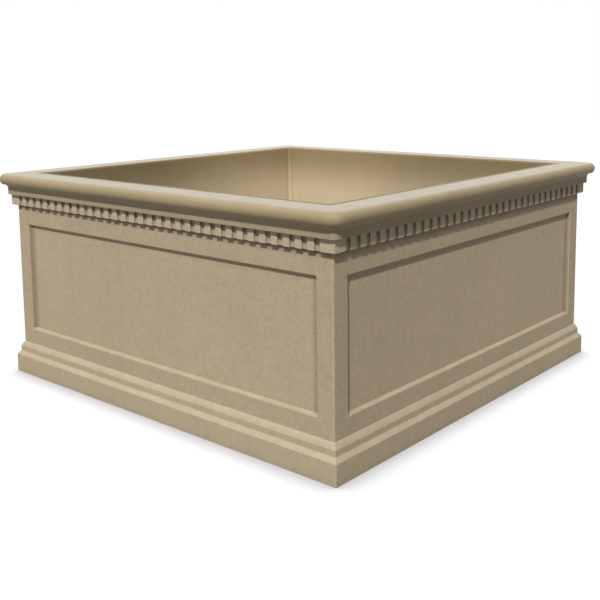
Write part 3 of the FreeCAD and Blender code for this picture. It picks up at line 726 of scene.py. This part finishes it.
def makeRubber():
    material, shader, where = newMaterial("blackRubber", Specular_IOR_Level=0.35)
    weather = useGroup(weatherGroup)
    skin = noise(where, rubber["skin"])
    bloom = remap(noise(where, rubber["blooms"], 4.0), *rubber["bloomed"])
    shade = layOver(rubber["black"], rubber, bloom=(bloom, "grey"), ledge=(weather["Ledge"], "dust"))
    rough = remap(bloom, 0.0, 1.0, *rubber["rough"])
    plugIn(shader, shade, rough, bump(skin, rubber["skinDepth"]))
    return material


# Moulded plastic of the drain, scuffed and rubbed at its arrises
drainPlastic = dict(
    colour=(0.050, 0.050, 0.048, 1), patched=(0.13, 0.13, 0.125, 1), worn=(0.14, 0.14, 0.13, 1),
    dirt=(0.12, 0.10, 0.07, 1), spark=1800.0, tones=(0.9, 1.12), depth=0.00004, rough=(0.36, 0.46),
    scuffs=(500.0, 500.0, 60.0), scuffed=(0.58, 0.75), patchRough=0.2,
    reach=dict(Fold=0.006, Arris=0.002), patch=0.25, arris=0.5, fold=0.5,
)


def makeDrainPlastic():
    look = drainPlastic
    material, shader, where = newMaterial("drainPlastic", Specular_IOR_Level=0.5)
    scuff = remap(noise(stretch(where, look["scuffs"]), 1.0, 3.0), *look["scuffed"])
    return finishPatchy(material, shader, look, noise(where, look["spark"]), scuff)


# Steel of the screws, dull with a little rust
screwSteel = dict(
    colour=(0.52, 0.51, 0.49, 1), patched=(0.24, 0.12, 0.055, 1), dirt=(0.07, 0.06, 0.05, 1),
    spangle=420.0, tones=(0.82, 1.1), depth=0.00003, rough=(0.28, 0.42), rust=160.0,
    rusty=(0.60, 0.74), patchRough=0.3, reach=dict(Fold=0.003), patch=0.5, fold=0.6,
)


def makeScrewSteel():
    look = screwSteel
    material, shader, where = newMaterial("screwSteel", Metallic=1.0)
    rust = remap(noise(where, look["rust"], 4.0), *look["rusty"])
    return finishPatchy(material, shader, look, noise(where, look["spangle"], 3.0), rust)


stoneMaterial = makeCastStone()
rimMaterial = makeSatinRim()
tubMaterial = makeSmoothTub()
postMaterial = makeDrawnMetal("drawnPost", upright=True)
railMaterial = makeDrawnMetal("drawnRail", upright=False)
boardMaterial = makePlywood()
timberMaterial = makeSoftwood()
rubberMaterial = makeRubber()
drainMaterial = makeDrainPlastic()
screwMaterial = makeScrewSteel()
print("materials made")


def makeWalls():
    foot = wallLow.z
    inner = wallLow.x
    piece = squareRing("wallRight", [(inner, foot), (wallFace, foot), (wallFace, bed), (inner, bed)])

    def onFace(point):
        return abs(point.x - wallFace) < near

    def inField(point):
        return point.x > inner + near and abs(point.y) < wallFace - wall["stile"] + near

    pick(piece, "FACE", lambda face: allAt(face, onFace))
    bpy.ops.mesh.inset(thickness=wall["stile"])
    borders = {foot + wall["stile"]: wall["fieldLow"], bed - wall["stile"]: wall["fieldHigh"]}
    for level, wanted in borders.items():
        pick(piece, "EDGE", lambda edge: allAt(edge, lambda p: onFace(p) and abs(p.z - level) < near))
        bpy.ops.transform.translate(value=(0, 0, wanted - level))
    pick(piece, "FACE", lambda face: allAt(face, lambda p: onFace(p) and inField(p)))
    bpy.ops.mesh.inset(thickness=wall["fieldBevel"], depth=-wall["fieldDepth"])
    soften(piece, wall["fieldRound"], inField, segments=3)
    soften(piece, wall["arris"],
           lambda p: abs(abs(p.x) - abs(p.y)) < near and reach(p) > wallFace - near)
    keepRightSide()
    dressRound(piece, "wall", sides, "stone_finish", stoneMaterial)


# Plinth lengths: upright face, slope, band and cap slope
plinth = dict(
    faceTop=0.037, slopeTop=0.045, bandTop=0.055, bandOut=0.0065, capOut=0.001, round=0.0011,
)


def makePlinths():
    low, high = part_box("plinth_right")
    face = high.x
    band = wallFace + plinth["bandOut"]
    piece = squareRing("plinthRight", [
        (wallFace, low.z), (face, low.z), (face, plinth["faceTop"]), (band, plinth["slopeTop"]),
        (band, plinth["bandTop"]), (wallFace + plinth["capOut"], high.z), (wallFace, high.z)])
    soften(piece, plinth["round"], lambda p: reach(p) > wallFace + near)
    keepRightSide()
    dressRound(piece, "plinth", sides, "stone_finish", stoneMaterial)


# Dentil courses: a strip with small blocks standing out of it
dentil = dict(backing=0.005, pitch=0.025, gap=0.011, gaps=33, round=0.0009)


def makeDentils():
    low, high = dentilLow, dentilHigh
    back = wallFace + dentil["backing"]
    standing = high.x - back
    firstGap = -(dentil["gaps"] - 1) / 2 * dentil["pitch"]
    lastBorder = dentil["gap"] / 2 - firstGap
    piece = squareRing("dentilCourseRight", [
        (wallFace, low.z), (back, low.z), (back, high.z), (wallFace, high.z)])

    def cut(point, normal):
        bpy.ops.mesh.bisect(plane_co=point, plane_no=normal)

    for number in range(dentil["gaps"]):
        for border in (-dentil["gap"] / 2, dentil["gap"] / 2):
            pick(piece, "FACE", lambda face: allAt(face, lambda p: abs(p.x - back) < near))
            cut((0, firstGap + number * dentil["pitch"] + border, 0), (0, 1, 0))
    for way in (-1, 1):
        pick(piece, "FACE", lambda face: allAt(face, lambda p: abs(p.y - way * back) < near))
        cut((lastBorder, 0, 0), (1, 0, 0))

    def standsOut(face):
        middle = face.calc_center_median()
        along = abs(middle.x if abs(middle.y) > abs(middle.x) else middle.y)
        onStrip = allAt(face, lambda p: reach(p) > back - near)
        step = (along - firstGap) % dentil["pitch"]
        gap = min(step, dentil["pitch"] - step) < dentil["gap"] / 2
        tooth = abs(middle.x - back) < near and not gap and along < lastBorder
        corner = along > lastBorder and middle.x > 0
        return onStrip and (tooth or corner) and abs(face.normal.z) < 0.5

    pick(piece, "FACE", standsOut)
    bpy.ops.mesh.extrude_region_shrink_fatten(
        TRANSFORM_OT_shrink_fatten={"value": standing, "use_even_offset": True})
    soften(piece, dentil["round"], lambda p: reach(p) > wallFace + near)
    keepRightSide()
    dressRound(piece, "dentilCourse", sides, "stone_finish", stoneMaterial)


# The rim: band, hollow and roll round the outside, a ledge for the tub inside
rim = dict(
    corner=0.025, bandOut=0.016, bandHigh=0.0118, hollow=0.00975, quirk=0.0005, roll=0.0115,
    rollStart=30, width=0.062, ledgeWide=0.005, ledgeDeep=0.006, round=0.0007, innerRound=0.002,
    hollowSteps=8, rollSteps=16, cornerSteps=12,
)


def makeRim():
    low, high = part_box("rim_ring")
    turn = high.x - rim["corner"]       # the round corners are turned about this distance out
    band = wallFace + rim["bandOut"]
    bandTop = low.z + rim["bandHigh"]
    rollCentre = high.x - rim["roll"]
    inner = high.x - rim["width"]

    def arc(x, z, degrees, steps):
        bpy.ops.mesh.spin(steps=steps, angle=math.radians(degrees), center=(x, -turn, z),
                          axis=(0, 1, 0))

    piece = drawChain("rimRing", [(turn, -turn, low.z), (band, -turn, low.z), (band, -turn, bandTop)])
    arc(band + rim["hollow"], bandTop, -90, rim["hollowSteps"])
    drawStep((rim["quirk"], 0, 0))
    arc(rollCentre, high.z - rim["roll"], 180 - rim["rollStart"], rim["rollSteps"])
    drawStep((turn - rollCentre, 0, 0))
    pickAll()
    extrude((0, 2 * turn, 0))
    bpy.ops.mesh.spin(steps=rim["cornerSteps"], angle=-math.pi / 2, center=(turn, turn, 0),
                      axis=(0, 0, 1))
    pickAll()
    bpy.ops.mesh.spin(steps=3, angle=1.5 * math.pi, center=(0, 0, 0), axis=(0, 0, 1), dupli=True)
    pickAll()
    bpy.ops.mesh.remove_doubles(threshold=near)
    pick(piece, "EDGE", lambda edge: edge.is_boundary and allAt(edge, lambda p: p.z > high.z - near))
    ledge = high.z - rim["ledgeDeep"]
    lower = inner - rim["ledgeWide"]
    drawLoops([(turn, high.z), (inner, high.z), (inner, ledge), (lower, ledge), (lower, low.z)])
    closeRing(piece)
    soften(piece, rim["round"], lambda p: reach(p) > turn and p.z < bandTop + near)
    soften(piece, rim["innerRound"],
           lambda p: abs(reach(p) - inner) < near and p.z > high.z - near, segments=3)
    dressOne(piece, "case", "rim_finish", rimMaterial, "rim_ring")


# The tub: a tapered well with a lip that rests on the rim's ledge and a drain hole in its floor
tub = dict(
    thick=0.005, draft=0.006, lipWide=0.010, lipThick=0.0056, corner=0.006, floorRound=0.0045,
    mouthRound=0.004, lipRound=0.0011, footRound=0.0035, drainHole=0.021,
)


def makeTub():
    floor = tubLow.z + tub["thick"]
    mouth = tubHigh.x - tub["lipWide"]
    foot = mouth - tub["draft"]
    lipUnder = tubHigh.z - tub["lipThick"]
    piece = startPiece("tubShell", bpy.ops.mesh.primitive_plane_add,
                       size=2 * foot, location=(0, 0, floor))
    pickAll()
    bpy.ops.mesh.bevel(affect="VERTICES", offset=tub["corner"], segments=5)
    pick(piece, "EDGE", lambda edge: edge.is_boundary)
    drawLoops([(foot, floor), (mouth, tubHigh.z), (tubHigh.x, tubHigh.z), (tubHigh.x, lipUnder),
               (mouth + tub["thick"], lipUnder), (foot + tub["thick"], tubLow.z)])
    bpy.ops.mesh.edge_face_add()
    tidySurface()
    soften(piece, tub["floorRound"], lambda p: abs(p.z - floor) < near, segments=4)

    def onTop(point):
        return point.z > tubHigh.z - near

    lip = mouth + 2 * tub["mouthRound"]
    soften(piece, tub["mouthRound"], lambda p: onTop(p) and reach(p) < mouth + near, segments=4)
    soften(piece, tub["lipRound"], lambda p: onTop(p) and reach(p) > lip - near)
    soften(piece, tub["footRound"], lambda p: p.z < tubLow.z + near, segments=3)
    drill(piece, tub["drainHole"], Vector((0, 0, 0)), tubLow.z - tub["thick"], floor + tub["thick"])
    dressOne(piece, "liner", "tub_finish", tubMaterial, "liner")


# The drain: flange, barrel and barbed hose spigot, with a nut under the tub
drain = dict(
    bore=0.015, barrel=0.0208, spigotStep=0.0028, spigotLong=0.020, flangeThick=0.004,
    flangeRound=0.0018, boreRound=0.0010, barbs=3, barb=0.0012, barbFoot=0.2, barbWide=0.7,
    barbEnd=0.75, round=0.0004, nutBore=0.021, nutCorner=0.0022, nutEdge=0.0010,
)


def makeDrain():
    low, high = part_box("drain_flange")
    centre = axisOf(low, high)
    bore = drain["bore"]
    flange = high.x - centre.x
    under = high.z - drain["flangeThick"]
    spigot = drain["barrel"] - drain["spigotStep"]
    throat = spigot - drain["barb"]
    spigotTop = low.z + drain["spigotLong"]
    step = drain["spigotLong"] / (drain["barbs"] + 1)
    barbs = []
    for number in range(drain["barbs"]):
        foot = low.z + (number + drain["barbFoot"]) * step
        barbs += [(throat, foot), (spigot, foot + drain["barbWide"] * step),
                  (throat, foot + drain["barbEnd"] * step)]
    piece = turned("drainBody", centre, [
        (bore, low.z), (throat, low.z), *barbs, (throat, spigotTop), (drain["barrel"], spigotTop),
        (drain["barrel"], under), (flange, under), (flange, high.z), (bore, high.z), (bore, low.z)])

    def wide(point):
        return (point - centre).xy.length

    def onTop(point):
        return point.z > high.z - near

    soften(piece, drain["flangeRound"], lambda p: onTop(p) and wide(p) > flange - near, segments=4)
    soften(piece, drain["boreRound"], lambda p: onTop(p) and wide(p) < bore + near, segments=3)
    soften(piece, drain["round"], lambda p: abs(p.z - under) < near or p.z < spigotTop + near)
    dressOne(piece, "liner", "drain_plastic", drainMaterial, "drain_flange")

    low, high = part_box("drain_nut")
    piece = startPiece("drainNutHex", bpy.ops.mesh.primitive_circle_add, vertices=6,
                       radius=high.x - centre.x, fill_type="NGON", location=(*centre.xy, low.z),
                       rotation=(0, 0, math.pi / 6))
    pickAll("FACE")
    extrude((0, 0, high.z - low.z))
    tidySurface()
    soften(piece, drain["nutCorner"], segments=3)
    drill(piece, drain["nutBore"], centre, low.z - past, high.z + past)
    soften(piece, drain["nutEdge"], lambda p: wide(p) < drain["nutBore"] + near)
    dressOne(piece, "liner", "drain_plastic", drainMaterial, "drain_nut")


# The plug: stem with a groove for its seal, head, neck and a knob to pull
plug = dict(
    clear=0.0003, chamfer=0.0015, depth=0.018, rim=0.006, head=0.004, neck=0.006, neckHigh=0.007,
    knob=0.011, knobRound=0.0035, sealDrop=0.007, grooveHalf=0.00135, groove=0.01225,
    headRound=0.0012,
)


def makePlug():
    low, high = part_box("drain_plug")
    centre = axisOf(low, high)
    seat = low.z + plug["depth"]
    headTop = seat + plug["head"]
    neckTop = headTop + plug["neckHigh"]
    stem = drain["bore"] - plug["clear"]
    head = drain["bore"] + plug["rim"]
    neck, knob = plug["neck"], plug["knob"]
    grooveLow = seat - plug["sealDrop"] - plug["grooveHalf"]
    grooveHigh = seat - plug["sealDrop"] + plug["grooveHalf"]
    piece = turned("drainPlugBody", centre, [
        (0, low.z), (stem - plug["chamfer"], low.z), (stem, low.z + plug["chamfer"]),
        (stem, grooveLow), (plug["groove"], grooveLow), (plug["groove"], grooveHigh),
        (stem, grooveHigh), (stem, seat), (head, seat), (head, headTop), (neck, headTop),
        (neck, neckTop), (knob, neckTop), (knob, high.z), (0, high.z)])
    soften(piece, plug["knobRound"],
           lambda p: p.z > neckTop - near and (p - centre).xy.length > neck + near, segments=5)
    soften(piece, plug["headRound"], lambda p: seat - near < p.z < headTop + near, segments=3)
    dressOne(piece, "plug", "drain_plastic", drainMaterial, "drain_plug")


# Angle posts and rails inside the case
angle = dict(thick=0.003, root=0.002, rootTurn=-0.5, round=0.0005, edgeTurn=1)


def angleLength(name, points, run):
    # a bent sheet drawn along its length, given its thickness, with a rounded root
    piece = drawChain(name, points)
    pickAll("EDGE")
    extrude(run)
    tidySurface()
    switch("OBJECT")
    applyModifier(piece, "SOLIDIFY", thickness=angle["thick"], use_even_offset=True)
    switch("EDIT")
    pick(piece, "EDGE", lambda edge: edge.calc_face_angle_signed(0) < angle["rootTurn"])
    bpy.ops.mesh.bevel(offset=angle["root"], segments=4)
    pick(piece, "EDGE", lambda edge: edge.calc_face_angle_signed(0) > angle["edgeTurn"])
    bpy.ops.mesh.bevel(offset=angle["round"], segments=2)
    return piece


def makeAngles():
    low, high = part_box("corner_post_back_right")
    corners = ["BackRight", "BackLeft", "FrontLeft", "FrontRight"]
    points = [(low.x, high.y, low.z), (high.x, high.y, low.z), (high.x, low.y, low.z)]
    post = angleLength("cornerPostBackRight", points, (0, 0, high.z - low.z))
    dressRound(post, "cornerPost", corners, "angle_metal", postMaterial)
    for kind, node in (("baseRail", "base_rail_right"), ("topRail", "top_rail_right")):
        low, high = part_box(node)
        points = [(low.x, low.y, high.z), (high.x, low.y, high.z), (high.x, low.y, low.z)]
        rail = angleLength(kind + "Right", points, (0, high.y - low.y, 0))
        dressRound(rail, kind, sides, "angle_metal", railMaterial)


# Floor board: notched round the posts, with a hole for the nut and sunk holes for the screw heads
board = dict(
    corner=0.022, round=0.0008, drainHole=0.0415, screwInset=0.060, headHole=0.0045, headDepth=0.0035,
)


def makeBoard():
    half = boardHigh.x
    notch = half - board["corner"]
    outline = []
    for quarter in range(4):
        turn = Matrix.Rotation(quarter * math.pi / 2, 3, "Z")
        for x, y in ((half, -notch), (half, notch), (notch, notch)):
            outline.append(turn @ Vector((x, y, boardLow.z)))
    piece = drawChain("floorBoard", outline)
    pickAll()
    bpy.ops.mesh.edge_face_add()
    extrude((0, 0, boardHigh.z - boardLow.z))
    tidySurface()
    drill(piece, board["drainHole"], Vector((0, 0, 0)), boardLow.z - past, boardHigh.z + past)
    low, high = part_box("bearer_right")
    endScrew = high.y - board["screwInset"]
    middle = axisOf(low, high).x
    headFoot = boardHigh.z - board["headDepth"]
    for x in (middle, -middle):
        for y in (-endScrew, -endScrew / 3, endScrew / 3, endScrew):
            drill(piece, board["headHole"], Vector((x, y, 0)), headFoot, boardHigh.z + past)
    soften(piece, board["round"])
    dressOne(piece, "case", "plywood", boardMaterial, "floor_board")


def block(name, low, high):
    # a cube drawn out to a box
    piece = startPiece(name, bpy.ops.mesh.primitive_cube_add, size=1)
    bpy.ops.transform.resize(value=high - low, center_override=(0, 0, 0))
    bpy.ops.transform.translate(value=(low + high) / 2)
    return piece


# Bearers with chamfered toes, on rubber pads
bearer = dict(round=0.0015, toe=0.008)


def makeBearers():
    for name in ("bearerLeft", "bearerRight"):
        low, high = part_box(snake(name))
        piece = block(name, low, high)
        pick(piece, "EDGE", lambda edge: allAt(edge, lambda p: p.z < low.z + near) and
             abs(edge.verts[0].co.y - edge.verts[1].co.y) < near)
        bpy.ops.mesh.bevel(offset=bearer["toe"], segments=1)
        soften(piece, bearer["round"])
        dressOne(piece, "case", "timber", timberMaterial, snake(name))


pads = dict(length=0.060, corner=0.005, edge=0.0008, rib=0.004, hollow=0.0015)


def makePads():
    low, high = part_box("foot_pads")
    bearerLow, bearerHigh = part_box("bearer_right")
    half = Vector(((bearerHigh.x - bearerLow.x) / 2, pads["length"] / 2, 0))
    middle = Vector((high.x - half.x, low.y + half.y, 0))
    piece = block("padsUnderBearers", middle - half, middle + half + Vector((0, 0, high.z)))
    pick(piece, "EDGE", lambda edge: abs(edge.verts[0].co.z - edge.verts[1].co.z) > near)
    bpy.ops.mesh.bevel(offset=pads["corner"], segments=4)
    pick(piece, "FACE", lambda face: face.normal.z < -0.9)
    bpy.ops.mesh.inset(thickness=pads["rib"])
    bpy.ops.mesh.inset(thickness=pads["hollow"], depth=-pads["hollow"])
    soften(piece, pads["edge"], lambda p: p.z > high.z - near)
    pickAll()
    for copy in range(2):
        bpy.ops.mesh.duplicate_move(TRANSFORM_OT_translate={"value": (0, -middle.y, 0)})
    pickAll()
    bpy.ops.mesh.duplicate_move(TRANSFORM_OT_translate={"value": (-2 * middle.x, 0, 0)})
    dressOne(piece, "case", "rubber", rubberMaterial, "foot_pads")


stages = {
    "walls": makeWalls, "plinth": makePlinths, "dentils": makeDentils, "rim": makeRim, "tub": makeTub,
    "drain": makeDrain, "plug": makePlug, "posts and rails": makeAngles, "floor board": makeBoard,
    "bearers": makeBearers, "pads": makePads,
}
for stage, make in stages.items():
    make()
    print(stage, "made")

# Small pieces that stay as they were built
carried = dict(
    drain_gasket=rubberMaterial, plug_seal=rubberMaterial, corner_screws=screwMaterial,
    top_rail_screws=screwMaterial, plinth_screws=screwMaterial, rim_screws=screwMaterial,
    floor_screws=screwMaterial,
)
for name, material in carried.items():
    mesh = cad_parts[name].data
    mesh.materials.clear()
    mesh.materials.append(material)
print("small pieces dressed")


# Floor, world and lamps
scene = bpy.context.scene
studio = dict(
    floorHalf=9.0, floorColour=(0.30, 0.30, 0.31, 1), floorGlow=0.72, contact=0.06, samples=16,
    contactFade=(0.5, 1.0, 0.45, 1.0), ambient=0.235, white=(1, 1, 1, 1), key=1.075,
    keyFrom=(0.344, -0.600, 0.722), keySpread=2.5, fill=0.11, fillFrom=(-0.60, -0.69, 0.40),
    fillSpread=90, back=0.32, backFrom=(-0.65, 0.72, 0.24), backSpread=80, well=24.0,
    wellPlace=(0.25, -0.25, 1.1), wellAim=(-0.36, 0.36, 0.22), wellCone=36, wellSize=0.12,
)


def showEither(lighting, shown, outputKind):
    # one surface lights the planter; the other is what the camera and reflections see
    path = addNode("LightPath").outputs
    direct = calc("MAXIMUM", path["Is Camera Ray"], path["Is Glossy Ray"])
    direct = calc("MAXIMUM", direct, path["Is Transmission Ray"])
    addNode(outputKind, Surface=inOrder("MixShader", None, direct, lighting, shown))


def makeFloor():
    floor = startPiece("studioFloor", bpy.ops.mesh.primitive_plane_add, size=2 * studio["floorHalf"])
    switch("OBJECT")
    material = startTree(bpy.data.materials.new("paleFloor"))
    plain = addNode("BsdfDiffuse", Color=studio["floorColour"]).outputs[0]
    # the white fades where the planter stands close: a painted contact shadow
    settings = {"samples": studio["samples"]}
    clear = addNode("AmbientOcclusion", settings, Distance=studio["contact"]).outputs["AO"]
    fade = times(remap(clear, *studio["contactFade"]), studio["floorGlow"])
    glow = addNode("Emission", Color=studio["white"], Strength=fade).outputs[0]
    showEither(plain, inOrder("AddShader", None, plain, glow), "OutputMaterial")
    floor.data.materials.append(material)


def makeWorld():
    world = startTree(bpy.data.worlds.new("studioWorld"))
    soft, white = (addNode("Background", Color=studio["white"], Strength=strength).outputs[0]
                   for strength in (studio["ambient"], 1.0))
    showEither(soft, white, "OutputWorld")
    scene.world = world


def addLamp(name, kind, energy, towards, position=(0, 0, 3)):
    lamp = bpy.data.lights.new(name, kind)
    lamp.energy = energy
    lampObject = bpy.data.objects.new(name, lamp)
    lampObject.location = position
    lampObject.rotation_euler = Vector(towards).to_track_quat("Z", "Y").to_euler()
    scene.collection.objects.link(lampObject)
    return lamp


def makeLamps():
    for name in ("key", "fill", "back"):
        lamp = addLamp(name + "Lamp", "SUN", studio[name] * math.pi, studio[name + "From"])
        lamp.angle = math.radians(studio[name + "Spread"])
    bpy.data.objects["backLamp"].visible_glossy = False     # no glare from it on the rim
    away = Vector(studio["wellPlace"]) - Vector(studio["wellAim"])
    lamp = addLamp("wellLamp", "SPOT", studio["well"], away, studio["wellPlace"])
    lamp.spot_size = math.radians(studio["wellCone"])
    lamp.spot_blend = 1.0
    lamp.shadow_soft_size = studio["wellSize"]


# The camera stands where the photograph was taken from
view = dict(
    place=(1.2524, -1.4465, 0.6226), yaw=131.125, pitch=-7.425, roll=-0.672, lens=54.06, sensor=36.0,
    shift=-0.18,
)


def makeCamera():
    yaw, pitch, roll = (math.radians(view[name]) for name in ("yaw", "pitch", "roll"))
    level = Vector((math.sin(yaw), -math.cos(yaw), 0))
    ahead = Vector((math.cos(yaw), math.sin(yaw), 0))
    forward = ahead * math.cos(pitch) + Vector((0, 0, math.sin(pitch)))
    upright = level.cross(forward)
    across = level * math.cos(roll) + upright * math.sin(roll)
    up = upright * math.cos(roll) - level * math.sin(roll)
    camera = bpy.data.objects.new("camera", bpy.data.cameras.new("camera"))
    camera.data.lens = view["lens"]
    camera.data.sensor_width = view["sensor"]
    camera.data.shift_y = view["shift"]
    attitude = Matrix((across, up, -forward)).transposed()
    camera.matrix_world = Matrix.Translation(view["place"]) @ attitude.to_4x4()
    scene.collection.objects.link(camera)
    scene.camera = camera


makeFloor()
makeWorld()
makeLamps()
makeCamera()
scene.view_settings.view_transform = "Standard"
print("studio made")
